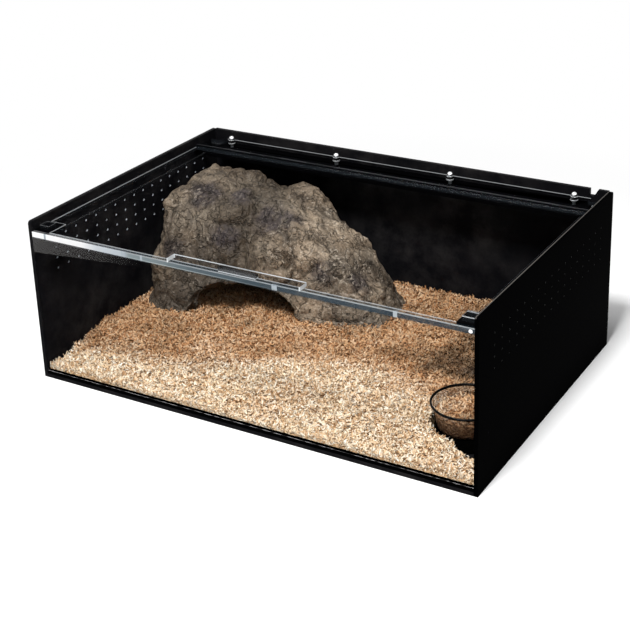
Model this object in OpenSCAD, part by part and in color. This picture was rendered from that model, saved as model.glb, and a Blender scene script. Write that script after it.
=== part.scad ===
// Front-view reptile terrarium: a black sheet box with a clear front pane and a
// clear lid that is hinged along a fixed rear strip, set down inside the rim.
// Millimetres, +Z up, front towards -Y. The origin is the middle of the footprint.

/* [Box] */
// Outside width of the box
box_w = 600; // [560:1:700]
// Outside depth of the box, front pane to back panel
box_d = 400; // [370:1:480]
// Outside height of the side and back panels
box_h = 212; // [210:1:260]
// Thickness of the black base, side and back sheets
sheet_t = 5; // [4:0.5:6]
// Thickness of the clear front pane
pane_t = 5; // [4:0.5:6]
// Height of the black strip under the front pane
strip_h = 5; // [4:0.5:12]
// Radius of the panels' upper corners
corner_r = 4; // [2:0.5:8]

/* [Vent holes] */
// Diameter of one vent hole
vent_d = 3.6; // [2:0.1:6]
// Holes in one row, front to back
vent_cols = 17; // [4:1:17]
// Rows of holes, one under another
vent_rows = 4; // [1:1:5]
// Distance from hole to hole along a row
vent_pitch_y = 20; // [12:1:20]
// Distance from row to row
vent_pitch_z = 14; // [8:1:14]
// Depth of the top row below the panels' upper edge
vent_drop = 34; // [30:1:50]

/* [Cable notch] */
// Width of the notch's flat bottom
notch_bottom_w = 6; // [5:0.5:20]
// Width that the slanted side adds at the top
notch_slant_w = 5; // [2:0.5:10]
// Depth of the notch below the upper edge
notch_depth = 8.5; // [5:0.5:11]
// Distance from the box's right side to the notch
notch_side_dist = 18; // [14:0.5:60]

/* [Lid seat] */
// Depth of the lid's upper face below the rim
rim_drop = 12; // [10:0.5:20]
// Thickness of the ledges that the lid rests on
ledge_t = 5; // [3:0.5:8]
// Width of the left and right ledges
side_ledge_w = 17; // [12:0.5:24]
// Width of the front ledge
front_ledge_w = 9; // [6:0.5:16]
// Width of the rear ledge
rear_ledge_w = 51; // [49:0.5:60]
// Height of the clear rail on top of the front pane
rail_h = 8; // [6:0.5:14]
// Step from the lid's upper face down to the rail
rail_step = 1; // [0.5:0.5:3]
// Width of the corner plates behind the front rail
corner_plate_w = 23; // [18:0.5:30]
// Depth of the corner plates
corner_plate_d = 30; // [24:0.5:40]
// Thickness of the corner plates
corner_plate_t = 5; // [3:0.5:5]
// Width of the clear block on each corner plate
corner_block_w = 14; // [10:0.5:16]
// Depth of the clear block
corner_block_d = 13; // [8:0.5:18]
// Height of the clear block
corner_block_h = 6; // [4:0.5:10]
// Gap from the block to the front rail and to the side panel
corner_block_gap = 5; // [1:0.5:6]

/* [Lid] */
// Thickness of the clear lid and of the rear strip
lid_t = 5; // [4:0.5:6]
// Depth of the fixed rear strip
rear_strip_d = 46.5; // [44:0.5:48]
// Width of the corner cut-outs for cables
cable_cut_w = 22; // [19:0.5:30]
// Depth of the corner cut-outs for cables
cable_cut_d = 11; // [8:0.5:14]
// Gap all round between lid and box
lid_gap = 0.5; // [0.3:0.1:1]
// Gap under the lid where it meets its ledges
seat_gap = 0.3; // [0.2:0.05:0.5]

/* [Lid handle] */
// Length of the lifting strip on the lid's front edge
handle_l = 178; // [120:1:260]
// Depth of the lifting strip
handle_d = 14.5; // [12:0.5:24]
// Thickness of the lifting strip
handle_t = 5; // [3:0.5:8]
// Overhang of the strip in front of the pane
handle_over = 4; // [2:0.5:8]
// Length of the finger slot
slot_l = 50; // [30:1:80]
// Width of the finger slot
slot_w = 6; // [5:0.5:6]
// Offset of the slot to the right of the strip's middle
slot_right = 4; // [0:1:15]

/* [Hinge] */
// Radius of the hinge knuckles
knuckle_r = 2.2; // [2:0.1:3]
// Diameter of the hinge pin
pin_d = 2; // [1.5:0.1:2.4]
// Radial clearance between pin and knuckle
pin_fit = 0.06; // [0.03:0.01:0.1]
// Number of knuckles, fixed and moving together
knuckles = 13; // [5:2:21]
// Width of each hinge leaf
leaf_w = 10; // [7:0.5:14]
// Thickness of each hinge leaf
leaf_t = 1.2; // [0.8:0.1:1.4]
// Gap from knuckle to knuckle
knuckle_gap = 0.4; // [0.3:0.1:1]

/* [Strip screws] */
// Number of screws along the rear strip
screws = 4; // [2:1:6]
// Distance from the outer screws to the side panels
screw_side_dist = 38.5; // [30:0.5:120]
// Distance from the screws to the back panel
screw_back_dist = 15.5; // [12:0.5:24]
// Diameter of the screw shank
screw_d = 5; // [4:0.5:6]
// Diameter of the screw head
screw_head_d = 9.5; // [8:0.5:12]
// Height of the screw head
screw_head_h = 3; // [2:0.5:4]
// Clearance around the screw in its holes
screw_fit = 0.15; // [0.1:0.05:0.4]
// Diameter of the washers
washer_d = 10; // [9:0.5:14]
// Thickness of the washers
washer_t = 1; // [0.5:0.1:2]
// Width of the cap nuts across their flats
nut_af = 8; // [7:0.5:9]
// Height of the cap nuts' hexagon
nut_hex_h = 4.5; // [3:0.5:6]
// Height of the whole cap nut
nut_h = 10; // [9:0.5:10]
// Diameter of the cap nuts' dome
nut_dome_d = 7.4; // [6.4:0.1:8]
// Thickness of the metal over the screw's end
nut_crown_t = 2; // [1:0.5:2.5]

/* [Bedding] */
// Height of the bedding's surface along the front pane
bedding_front_z = 11; // [10:1:20]
// Height of the bedding's surface towards the back
bedding_back_z = 27; // [22:1:40]
// Height of the flat patch that the rock stands on
bedding_rock_z = 26; // [14:1:30]
// Height of the waves on the surface
bedding_wave_h = 2; // [0:0.5:4]
// Length of the waves, crest to crest
bedding_wave_l = 170; // [120:1:240]
// Height of the clumps on the surface
clump_h = 4; // [0:0.5:6]
// Distance from clump to clump
clump_l = 40; // [30:1:60]
// Extra height of the heap around the bowl
bowl_heap_h = 16; // [0:1:20]
// Radius of that heap
bowl_heap_r = 70; // [50:1:90]
// Width of the level patch beyond the rock's outline
level_margin_w = 24; // [24:1:40]
// Clearance between the bedding and what stands in it
bedding_gap = 0.4; // [0.3:0.1:1]

/* [Rock hide] */
// Half length of the rock's footprint
rock_half_l = 166; // [120:1:168]
// Depth of the footprint from its middle line to the back
rock_back_d = 85; // [60:1:95]
// Depth of the footprint from its middle line to the front, at its left end
rock_front_left_d = 135; // [90:1:150]
// Depth of the footprint from its middle line to the front, at its right end
rock_front_right_d = 43; // [30:1:90]
// Distance of the footprint's middle from the box's left side
rock_left_dist = 175; // [174:1:240]
// Distance of the footprint's middle line from the back
rock_back_dist = 110; // [104:1:140]
// Gap from the rock's top to the ledges' undersides
rock_headroom = 1; // [1:0.1:60]
// Fall of the rock's top towards its right end, for each millimetre
rock_fall = 0.12; // [0:0.01:0.3]
// Offset of the summit to the left of the middle
summit_left = 120; // [40:1:125]
// Offset of the summit behind the middle line
summit_back = 32; // [0:1:40]
// Thickness of the shell
rock_wall = 10; // [6:0.5:14]
// Half width of the cave's arch
arch_half_w = 77; // [50:1:80]
// Height of the arch above the bedding
arch_h = 52; // [40:1:80]
// Offset of the arch to the left of the middle
arch_left = 14; // [0:1:50]
// Number of crags on the rock
crags = 40; // [20:1:60]
// Radius of one crag
crag_r = 40; // [25:1:50]
// Height of the crags over the clefts between them
crag_h = 9; // [0:0.5:12]

/* [Water bowl] */
// Radius of the bowl's foot
bowl_foot_r = 33; // [26:0.5:38]
// Radius of the bowl's rim
bowl_rim_r = 42; // [36:0.5:45]
// Height of the bowl
bowl_h = 50; // [30:0.5:60]
// Thickness of the bowl's wall
bowl_wall = 2.4; // [2:0.1:4]
// Radius of the rolled rim
bowl_bead_r = 1.8; // [1.5:0.1:2.5]
// Gap from the bowl's rim to the right side panel
bowl_side_gap = 10; // [4:0.5:30]
// Distance from the bowl's middle to the front pane
bowl_front_dist = 90; // [60:1:120]

/* [Hidden] */
$fn = 48;
// Cuts reach this far past the face that they open
cut = 1;

black = [0.05, 0.05, 0.06];
clear = [0.80, 0.90, 0.95, 0.35];
steel = [0.80, 0.82, 0.85];
shavings = [0.80, 0.62, 0.42];
stone = [0.55, 0.48, 0.40];

// Planes of the box. The footprint includes the handle's overhang.
front_y = (handle_over - box_d) / 2;
back_y = front_y + box_d;
pane_back_y = front_y + pane_t;
back_in_y = back_y - sheet_t;
in_x = box_w / 2 - sheet_t;
in_w = 2 * in_x;

// Levels, from the rim down
lid_top_z = box_h - rim_drop;
lid_z = lid_top_z - lid_t;
seat_z = lid_z - seat_gap;
ledge_z = seat_z - ledge_t;
strip_top_z = seat_z + lid_t;
rail_top_z = lid_top_z - rail_step;
pane_top_z = rail_top_z - rail_h;
pane_z = sheet_t + strip_h;

// Lid seat and hinge line
ledge_in_x = in_x - side_ledge_w;
strip_front_y = back_in_y - rear_strip_d;
seam_gap = lid_gap + 0.1;
lid_back_y = strip_front_y - seam_gap;
lid_front_y = pane_back_y + lid_gap;
hinge_y = strip_front_y - seam_gap / 2;
hinge_gap = 0.4;
hinge_z = lid_top_z + hinge_gap + knuckle_r;
leaf_start = knuckle_r + 0.4;
hinge_l = in_w - 2 * lid_gap;
knuckle_l = hinge_l / knuckles;
corner_plate_x = in_x - corner_plate_w;
corner_plate_back_y = pane_back_y + corner_plate_d;
screw_y = back_in_y - screw_back_dist;
screw_pitch = (in_w - 2 * screw_side_dist) / (screws - 1);
screw_seats = [for (i = [0:screws - 1]) (i - (screws - 1) / 2) * screw_pitch];
nut_z = strip_top_z + washer_t;
screw_end_gap = 0.5;
screw_top_z = nut_z + nut_h - nut_crown_t - screw_end_gap;

// What stands in the box
bowl_x = in_x - bowl_side_gap - bowl_rim_r;
bowl_y = pane_back_y + bowl_front_dist;
rock_x = rock_left_dist - box_w / 2;
rock_y = back_y - rock_back_dist;
rock_top_z = ledge_z - rock_headroom;
summit = [rock_x - summit_left, rock_y + summit_back];
rock_sides = 72;
rock_rings = 13;
rock_squareness = 5;
front_taper = 1.6;
// The dome's shape on its right, back, left and front: fullness, and how round its edge is
dome_fullness = [3.6, 3, 3, 2.8];
dome_roundness = [0.8, 0.7, 0.6, 0.75];
golden_angle = 137.5;
crag_roundness = 1.5;
spine_half_l = 0.6 * rock_half_l;
spine_front = 0.4 * summit_back;
foot_fade_h = 15;
// How steeply the bedding rises behind the pane, and how softly it leaves the level patch
rise_steepness = 2.6;
level_blend = 0.35;
// The bedding's waves run two ways across the box, and its clumps wander about their rows
wave_lean = 1 / 3;
wave_turn = 1.2;
clump_swing = 120;
clump_drift = [1.9, 2.3];
bedding_cols = 58;
bedding_rows = 38;

// 2D shapes ------------------------------------------------------------------

// A rectangle with its two upper corners rounded, lower left at the origin
module top_rounded_rect(w, h, r) {
    square([w, h - r]);
    translate([r, 0]) square([w - 2 * r, h]);
    translate([r, h - r]) circle(r);
    translate([w - r, h - r]) circle(r);
}

// Box ------------------------------------------------------------------------

module base_panel() {
    color(black) translate([-in_x, front_y, 0])
        cube([in_w, box_d - sheet_t, sheet_t]);
}

module vent_holes() {
    first_y = (front_y + back_y) / 2 - (vent_cols - 1) / 2 * vent_pitch_y;
    for (i = [0:vent_cols - 1], j = [0:vent_rows - 1])
        translate([0, first_y + i * vent_pitch_y, box_h - vent_drop - j * vent_pitch_z])
            rotate([0, 90, 0])
                cylinder(d = vent_d, h = sheet_t + 2 * cut, center = true);
}

// One side panel, standing on its lower edge with its middle at x
module side_panel(x) {
    difference() {
        translate([x - sheet_t / 2, front_y, 0]) rotate([90, 0, 90])
            linear_extrude(sheet_t) top_rounded_rect(box_d, box_h, corner_r);
        translate([x, 0, 0]) vent_holes();
    }
}

module left_side_panel() {
    color(black) side_panel(-in_x - sheet_t / 2);
}

module right_side_panel() {
    color(black) side_panel(in_x + sheet_t / 2);
}

// The back panel has a cable notch in its upper edge, with one slanted side
module back_panel() {
    notch_x = box_w / 2 - notch_side_dist - notch_slant_w - notch_bottom_w;
    notch_z = box_h - notch_depth;
    color(black) difference() {
        translate([-in_x, back_in_y, 0]) cube([in_w, sheet_t, box_h]);
        translate([0, back_in_y - cut, 0]) rotate([90, 0, 0]) mirror([0, 0, 1])
            linear_extrude(sheet_t + 2 * cut)
                polygon([[notch_x, notch_z], [notch_x + notch_bottom_w, notch_z],
                    [notch_x + notch_bottom_w + notch_slant_w, box_h],
                    [notch_x + notch_bottom_w + notch_slant_w, box_h + cut],
                    [notch_x, box_h + cut]]);
    }
}

module front_pane() {
    color(clear) translate([-in_x, front_y, pane_z])
        cube([in_w, pane_t, pane_top_z - pane_z]);
}

module front_bottom_strip() {
    color(black) translate([-in_x, front_y, sheet_t])
        cube([in_w, pane_t, strip_h]);
}

module front_top_rail() {
    color(clear) translate([-in_x, front_y, pane_top_z])
        cube([in_w, pane_t, rail_h]);
}

// Lid seat -------------------------------------------------------------------

// The side ledges stop short of the back, so that a cable can pass there
module side_ledge(side) {
    x = side < 0 ? -in_x : ledge_in_x;
    color(clear) translate([x, pane_back_y, ledge_z])
        cube([side_ledge_w, back_in_y - cable_cut_d - pane_back_y, ledge_t]);
}

module left_ledge() {
    side_ledge(-1);
}

module right_ledge() {
    side_ledge(1);
}

module front_ledge() {
    color(clear) translate([-ledge_in_x, pane_back_y, ledge_z])
        cube([2 * ledge_in_x, front_ledge_w, ledge_t]);
}

module rear_ledge() {
    color(black) difference() {
        translate([-ledge_in_x, back_in_y - rear_ledge_w, ledge_z])
            cube([2 * ledge_in_x, rear_ledge_w, ledge_t]);
        screw_holes(ledge_z, ledge_t);
    }
}

module corner_plate(side) {
    x = side < 0 ? -in_x : corner_plate_x;
    color(black) translate([x, pane_back_y, seat_z])
        cube([corner_plate_w, corner_plate_d, corner_plate_t]);
}

module left_corner_plate() {
    corner_plate(-1);
}

module right_corner_plate() {
    corner_plate(1);
}

module corner_block(side) {
    x = side * (in_x - corner_block_gap - corner_block_w / 2) - corner_block_w / 2;
    color(clear) translate([x, pane_back_y + corner_block_gap, seat_z + corner_plate_t])
        cube([corner_block_w, corner_block_d, corner_block_h]);
}

module left_corner_block() {
    corner_block(-1);
}

module right_corner_block() {
    corner_block(1);
}

// Rear strip and its screws ----------------------------------------------------

module screw_holes(z, t) {
    for (x = screw_seats) translate([x, screw_y, z - cut])
        cylinder(d = screw_d + 2 * screw_fit, h = t + 2 * cut);
}

module rear_lid_strip() {
    color(clear) difference() {
        translate([-in_x, strip_front_y, seat_z]) cube([in_w, rear_strip_d, lid_t]);
        for (side = [-1, 1])
            translate([side * (in_x + cut - cable_cut_w / 2 - cut / 2),
                    back_in_y - cable_cut_d / 2 + cut / 2, seat_z + lid_t / 2])
                cube([cable_cut_w + cut, cable_cut_d + cut, lid_t + 2 * cut], center = true);
        screw_holes(seat_z, lid_t);
    }
}

module strip_screws() {
    color(steel) for (x = screw_seats) translate([x, screw_y, 0]) {
        translate([0, 0, ledge_z - screw_head_h]) cylinder(d = screw_head_d, h = screw_head_h);
        translate([0, 0, ledge_z - screw_head_h])
            cylinder(d = screw_d, h = screw_top_z - ledge_z + screw_head_h);
    }
}

module strip_washers() {
    color(steel) for (x = screw_seats) translate([x, screw_y, strip_top_z]) difference() {
        cylinder(d = washer_d, h = washer_t);
        translate([0, 0, -cut]) cylinder(d = screw_d + 2 * screw_fit, h = washer_t + 2 * cut);
    }
}

module cap_nut() {
    dome_r = nut_dome_d / 2;
    difference() {
        union() {
            cylinder(d = nut_af / cos(30), h = nut_hex_h, $fn = 6);
            cylinder(r = dome_r, h = nut_h - dome_r);
            translate([0, 0, nut_h - dome_r]) sphere(dome_r);
        }
        translate([0, 0, -cut]) cylinder(d = screw_d + 0.1, h = nut_h - nut_crown_t + cut);
    }
}

module cap_nuts() {
    color(steel) for (x = screw_seats) translate([x, screw_y, nut_z]) cap_nut();
}

// Lid --------------------------------------------------------------------------

// The lid fills the seat, and its front corners are cut round the corner plates
module lid_panel() {
    w = in_w - 2 * lid_gap;
    cut_w = corner_plate_w + lid_gap;
    cut_d = corner_plate_back_y + lid_gap - lid_front_y;
    color(clear) difference() {
        translate([-w / 2, lid_front_y, lid_z]) cube([w, lid_back_y - lid_front_y, lid_t]);
        for (x = [-in_x - cut, in_x - cut_w])
            translate([x, lid_front_y - cut, lid_z - cut])
                cube([cut_w + cut, cut_d + cut, lid_t + 2 * cut]);
    }
}

module lid_handle() {
    color(clear) difference() {
        translate([-handle_l / 2, front_y - handle_over, lid_top_z])
            cube([handle_l, handle_d, handle_t]);
        translate([slot_right - slot_l / 2, front_y - handle_over + (handle_d - slot_w) / 2,
                lid_top_z - cut])
            cube([slot_l, slot_w, handle_t + 2 * cut]);
    }
}

// Hinge --------------------------------------------------------------------------

// Knuckles number first, first + 2, ... along the hinge line
module knuckle_row(first, bore) {
    for (i = [first:2:knuckles - 1])
        translate([-hinge_l / 2 + i * knuckle_l + knuckle_gap / 2, hinge_y, hinge_z])
            rotate([0, 90, 0])
                cylinder(r = bore > 0 ? bore : knuckle_r,
                    h = knuckle_l - knuckle_gap);
}

// A leaf with its knuckles; side is 1 for the rear strip and -1 for the lid
module hinge_leaf(side, first, face_z, bore) {
    web_w = leaf_start + knuckle_r / 2;
    difference() {
        union() {
            knuckle_row(first, 0);
            for (i = [first:2:knuckles - 1])
                translate([-hinge_l / 2 + i * knuckle_l + knuckle_gap / 2,
                        side > 0 ? hinge_y : hinge_y - web_w, face_z])
                    cube([knuckle_l - knuckle_gap, web_w, leaf_t]);
            translate([-hinge_l / 2 + knuckle_gap / 2,
                    side > 0 ? hinge_y + leaf_start : hinge_y - leaf_start - leaf_w, face_z])
                cube([hinge_l - knuckle_gap, leaf_w, leaf_t]);
        }
        translate([-in_x, hinge_y, hinge_z]) rotate([0, 90, 0]) cylinder(r = bore, h = in_w);
    }
}

module hinge_fixed_leaf() {
    color(clear) hinge_leaf(1, 0, strip_top_z, pin_d / 2);
}

module hinge_lid_leaf() {
    color(clear) hinge_leaf(-1, 1, lid_top_z, pin_d / 2 + pin_fit);
}

module hinge_pin() {
    color(steel) translate([-hinge_l / 2, hinge_y, hinge_z]) rotate([0, 90, 0])
        cylinder(d = pin_d, h = hinge_l);
}

// Rock hide ----------------------------------------------------------------------

// Depth of the footprint at share u of its half length; side is -1 for the front
function rock_depth(u, side) =
    side > 0 ? rock_back_d
        : rock_front_right_d
            + (rock_front_left_d - rock_front_right_d)
                * pow((1 - min(1, max(-1, u))) / 2, front_taper);

// Reach of the footprint at angle a, for half length l and depth d
function foot_reach(a, l, d) =
    let (n = rock_squareness)
    pow(pow(abs(cos(a)) / l, n) + pow(abs(sin(a)) / d, n), -1 / n);

// Footprint point at angle a, drawn in by d
function foot_at(a, d) =
    let (side = sign(sin(a)), l = rock_half_l - d,
        guess = foot_reach(a, l, rock_depth(cos(a), side) - d),
        r = foot_reach(a, l, rock_depth(guess * cos(a) / rock_half_l, side) - d))
    [rock_x + r * cos(a), rock_y + r * sin(a)];

// The value that holds at angle a, for values on the right, back, left and front
function between_sides(a, values) =
    let (shares = [for (k = [0:3]) values[k] * pow(max(0, cos(a - 90 * k)), 2)])
    shares[0] + shares[1] + shares[2] + shares[3];

// Share of the full height left at fraction f of the way out to the footprint
function dome(f, a) =
    pow(1 - pow(f, between_sides(a, dome_fullness)), between_sides(a, dome_roundness));

// Height of the shell's lower edge: the cave's arch on the front, else the bedding
function edge_z(a) =
    let (off = (foot_at(a, 0)[0] - (rock_x - arch_left)) / arch_half_w)
    sin(a) < 0 && abs(off) < 1 ? bedding_rock_z + arch_h * sqrt(1 - off * off)
        : bedding_rock_z;

// Point of the smooth dome at fraction f of the way out and angle a, drawn in by d
function dome_point(f, a, d) =
    let (foot = foot_at(a, d), low = edge_z(a),
        x = summit[0] + (foot[0] - summit[0]) * f,
        top = rock_top_z - d - rock_fall * max(0, x - summit[0]))
    [x, summit[1] + (foot[1] - summit[1]) * f, low + (top - low) * dome(f, a)];

// Crags sit on the dome in a sunflower pattern, from the summit down to the foot
crag_tops = [for (i = [0:crags - 1]) dome_point(sqrt((i + 0.5) / crags), golden_angle * i, 0)];

// Height of the crags at point p, 0 at the crags' tops and less in the clefts
function cleft(p) =
    max([for (c = crag_tops) pow(max(0, 1 - pow(norm(p - c) / crag_r, 2)), crag_roundness)]) - 1;

// The skin is pushed in at the clefts, towards the rock's spine
function craggy(p, low) =
    let (spine = [rock_x + max(-1, min(1, (p[0] - rock_x) / rock_half_l)) * spine_half_l,
            summit[1] - spine_front, low],
        way = (p - spine) / norm(p - spine),
        share = min(1, (p[2] - low) / foot_fade_h))
    p + crag_h * cleft(p) * share * way;

// One ring of the shell, at fraction f, drawn in by d; the outer skin is craggy
function rock_ring(f, d) = [for (i = [0:rock_sides - 1])
    let (a = 360 * i / rock_sides, p = dome_point(f, a, d))
    d > 0 ? p : craggy(p, edge_z(a))];

// Ring fractions, closer together towards the steep outside
function ring_f(k) = sin(90 * k / rock_rings);

// Outer and inner skins, from the lower edge up to the summit
function rock_skin(d) = [for (k = [rock_rings:-1:1]) each rock_ring(ring_f(k), d)];

module rock_hide() {
    m = rock_rings * rock_sides;
    points = concat(rock_skin(0), [[summit[0], summit[1], rock_top_z]],
        rock_skin(rock_wall), [[summit[0], summit[1], rock_top_z - rock_wall]]);
    inner = m + 1;
    faces = [
        for (k = [0:rock_rings - 2], i = [0:rock_sides - 1])
            let (j = (i + 1) % rock_sides, a = k * rock_sides + i, b = k * rock_sides + j)
            each [[a, a + rock_sides, b], [b, a + rock_sides, b + rock_sides]],
        for (i = [0:rock_sides - 1])
            let (j = (i + 1) % rock_sides, top = (rock_rings - 1) * rock_sides)
            [top + i, m, top + j],
        for (k = [0:rock_rings - 2], i = [0:rock_sides - 1])
            let (j = (i + 1) % rock_sides, a = inner + k * rock_sides + i,
                b = inner + k * rock_sides + j)
            each [[a, b, a + rock_sides], [b, b + rock_sides, a + rock_sides]],
        for (i = [0:rock_sides - 1])
            let (j = (i + 1) % rock_sides, top = inner + (rock_rings - 1) * rock_sides)
            [top + i, top + j, inner + m],
        for (i = [0:rock_sides - 1])
            let (j = (i + 1) % rock_sides)
            each [[i, j, inner + i], [j, inner + j, inner + i]]];
    color(stone) polyhedron(points, faces, convexity = 6);
}

// Bedding --------------------------------------------------------------------------

function smooth(t) = let (c = min(1, max(0, t))) c * c * (3 - 2 * c);
function mix(a, b, t) = a + (b - a) * t;

// 1 at the edge of the level patch, less inside it and more outside
function patch_reach(x, y) =
    let (u = (x - rock_x) / (rock_half_l + level_margin_w),
        depth = rock_depth((x - rock_x) / rock_half_l, sign(y - rock_y)),
        v = (y - rock_y) / (depth + level_margin_w))
    pow(pow(abs(u), rock_squareness) + pow(abs(v), rock_squareness), 1 / rock_squareness);

// Clumps, from -1 in the dips to 1 on the crests
function clump(x, y) =
    let (turn = 360 / clump_l)
    sin(turn * x + clump_swing * sin(turn * y / clump_drift[1]))
        * sin(turn * y + clump_swing * sin(turn * x / clump_drift[0]));

function bedding_z(x, y) =
    let (depth = (y - pane_back_y) / (back_in_y - pane_back_y),
        turn = 360 / bedding_wave_l,
        wave = bedding_wave_h / 2
            * (sin(turn * (x + wave_lean * y)) + sin(turn * (wave_turn * y - x / 2))),
        heap = bowl_heap_h * exp(-(pow(x - bowl_x, 2) + pow(y - bowl_y, 2)) / pow(bowl_heap_r, 2)),
        free = mix(bedding_front_z, bedding_back_z, smooth(depth * rise_steepness)) + wave + heap
            + clump_h / 2 * clump(x, y))
    mix(bedding_rock_z, free, smooth((patch_reach(x, y) - 1) / level_blend));

module bedding_heap() {
    nx = bedding_cols;
    ny = bedding_rows;
    x0 = -in_x + bedding_gap;
    y0 = pane_back_y + bedding_gap;
    dx = -2 * x0 / nx;
    dy = (back_in_y - bedding_gap - y0) / ny;
    top = [for (j = [0:ny], i = [0:nx])
        let (x = x0 + i * dx, y = y0 + j * dy) [x, y, bedding_z(x, y)]];
    n = len(top);
    foot = [for (y = [y0, y0 + ny * dy], x = [x0, -x0]) [x, y, sheet_t]];
    function at(i, j) = j * (nx + 1) + i;
    faces = [
        for (j = [0:ny - 1], i = [0:nx - 1])
            each [[at(i, j), at(i, j + 1), at(i + 1, j)],
                [at(i + 1, j), at(i, j + 1), at(i + 1, j + 1)]],
        [n, n + 1, n + 3, n + 2],
        [n, for (i = [0:nx]) at(i, 0), n + 1],
        [n + 3, for (i = [nx:-1:0]) at(i, ny), n + 2],
        [n + 2, for (j = [ny:-1:0]) at(0, j), n],
        [n + 1, for (j = [0:ny]) at(nx, j), n + 3]];
    polyhedron(concat(top, foot), faces, convexity = 4);
}

// The bedding is open round the bowl, which stands on the base
module bedding() {
    color(shavings) difference() {
        bedding_heap();
        translate([bowl_x, bowl_y, sheet_t - cut])
            cylinder(r = bowl_rim_r + bowl_bead_r + bedding_gap, h = bowl_h);
    }
}

// Water bowl -----------------------------------------------------------------------

module water_bowl() {
    color(clear) translate([bowl_x, bowl_y, sheet_t]) rotate_extrude() {
        polygon([[0, 0], [bowl_foot_r, 0], [bowl_rim_r, bowl_h - bowl_bead_r],
            [bowl_rim_r - bowl_wall, bowl_h - bowl_bead_r],
            [bowl_foot_r - bowl_wall, bowl_wall], [0, bowl_wall]]);
        translate([bowl_rim_r - bowl_wall / 2, bowl_h - bowl_bead_r]) circle(bowl_bead_r);
    }
}

base_panel();
left_side_panel();
right_side_panel();
back_panel();
front_pane();
front_bottom_strip();
front_top_rail();
left_ledge();
right_ledge();
front_ledge();
rear_ledge();
left_corner_plate();
right_corner_plate();
left_corner_block();
right_corner_block();
rear_lid_strip();
strip_screws();
strip_washers();
cap_nuts();
lid_panel();
lid_handle();
hinge_fixed_leaf();
hinge_lid_leaf();
hinge_pin();
bedding();
rock_hide();
water_bowl();
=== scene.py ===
# %% [markdown]
# # A clear-fronted reptile terrarium
#
# This lesson dresses a low enclosure for a ground-living reptile. It is a box of
# glossy black plastic sheets with a clear front and a clear hinged lid. Inside lie
# wood shavings, a rock with a cave under it, and a clear water bowl.
# The hard parts come in ready-made from a measured model, so the work here is the
# finish of each sheet, and the loose and natural things that plain solids can't show.
#
# The first cell loads the measured model. Everything is in metres, with +Z up.

import math

import bpy
import numpy as np
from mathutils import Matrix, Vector, noise


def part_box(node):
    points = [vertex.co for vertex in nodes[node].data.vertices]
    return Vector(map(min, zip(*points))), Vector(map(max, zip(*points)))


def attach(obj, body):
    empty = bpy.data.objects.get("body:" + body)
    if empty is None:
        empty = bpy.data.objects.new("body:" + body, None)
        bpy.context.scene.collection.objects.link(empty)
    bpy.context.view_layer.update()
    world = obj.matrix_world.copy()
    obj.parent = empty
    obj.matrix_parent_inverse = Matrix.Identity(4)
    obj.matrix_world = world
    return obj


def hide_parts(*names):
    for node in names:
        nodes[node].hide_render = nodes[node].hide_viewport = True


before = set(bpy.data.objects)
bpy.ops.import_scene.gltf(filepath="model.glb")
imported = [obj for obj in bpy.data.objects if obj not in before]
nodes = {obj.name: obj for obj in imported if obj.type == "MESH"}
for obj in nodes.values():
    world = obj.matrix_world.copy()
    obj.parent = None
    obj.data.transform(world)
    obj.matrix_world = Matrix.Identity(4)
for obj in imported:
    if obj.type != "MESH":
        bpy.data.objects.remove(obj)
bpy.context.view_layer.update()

# %% [markdown]
# ## Looking through the photographer's lens
#
# The camera stands to the right of the box and looks down on it. Its place was worked
# out from the box's corners. A small lens shift, like the one on a view camera, keeps
# the upright edges nearly upright.

# %% Place the camera
lens = bpy.data.cameras.new("camera")
lens.sensor_width = 36
lens.lens = 80.77
lens.shift_x = -0.03
lens.shift_y = -0.2
lens.clip_start = 0.05
camera = bpy.data.objects.new("camera", lens)
camera.location = (0.83419, -1.38191, 0.84637)
camera.rotation_euler = [math.radians(a) for a in (69.2284, 1.6843, 29.9701)]
bpy.context.collection.objects.link(camera)
bpy.context.scene.camera = camera
print("camera", round(camera.location.length, 2), "m from the middle of the floor")

# %% [markdown]
# ## Small tools for the lesson
#
# A mesh is a list of points and a list of faces, so one helper turns such lists into
# an object, smooths it and names it. A material is a tree of small boxes joined by
# wires. The second helper adds one box and joins it up, which keeps each finish short
# enough to read as a recipe.

# %% Helpers for meshes and finishes
def add_piece(name, points, faces, body="root", smooth=True):
    mesh = bpy.data.meshes.new(name)
    mesh.from_pydata([tuple(p) for p in points], [], [tuple(f) for f in faces])
    mesh.update()
    if smooth:
        mesh.polygons.foreach_set("use_smooth", [True] * len(mesh.polygons))
    piece = bpy.data.objects.new(name, mesh)
    bpy.context.collection.objects.link(piece)
    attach(piece, body)
    return piece


def start_finish(name):
    finish = bpy.data.materials.new(name)
    finish.use_nodes = True
    finish.node_tree.nodes.clear()
    return finish, finish.node_tree


def add(tree, kind, settings=None, **inputs):
    box = tree.nodes.new("ShaderNode" + kind)
    for key, value in (settings or {}).items():
        setattr(box, key, value)
    for key, value in inputs.items():
        socket = box.inputs[int(key[1:])] if key[1:].isdigit() else box.inputs[key.replace("_", " ")]
        if isinstance(value, bpy.types.NodeSocket):
            tree.links.new(value, socket)
        else:
            socket.default_value = value
    return box


def mix_colour(tree, share, first, second, mode="MIX"):
    box = add(tree, "Mix", {"data_type": "RGBA", "blend_type": mode, "clamp_factor": True})
    for place, value in ((0, share), (6, first), (7, second)):
        if isinstance(value, bpy.types.NodeSocket):
            tree.links.new(value, box.inputs[place])
        else:
            box.inputs[place].default_value = value
    return box.outputs[2]


def ramp(tree, value, stops, ease="LINEAR"):
    box = add(tree, "ValToRGB", _0=value)
    box.color_ramp.interpolation = ease
    while len(box.color_ramp.elements) < len(stops):
        box.color_ramp.elements.new(0.5)
    for element, (place, colour) in zip(box.color_ramp.elements, stops):
        element.position = place
        element.color = (*colour, 1) if len(colour) == 3 else colour
    return box.outputs[0]


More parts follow.
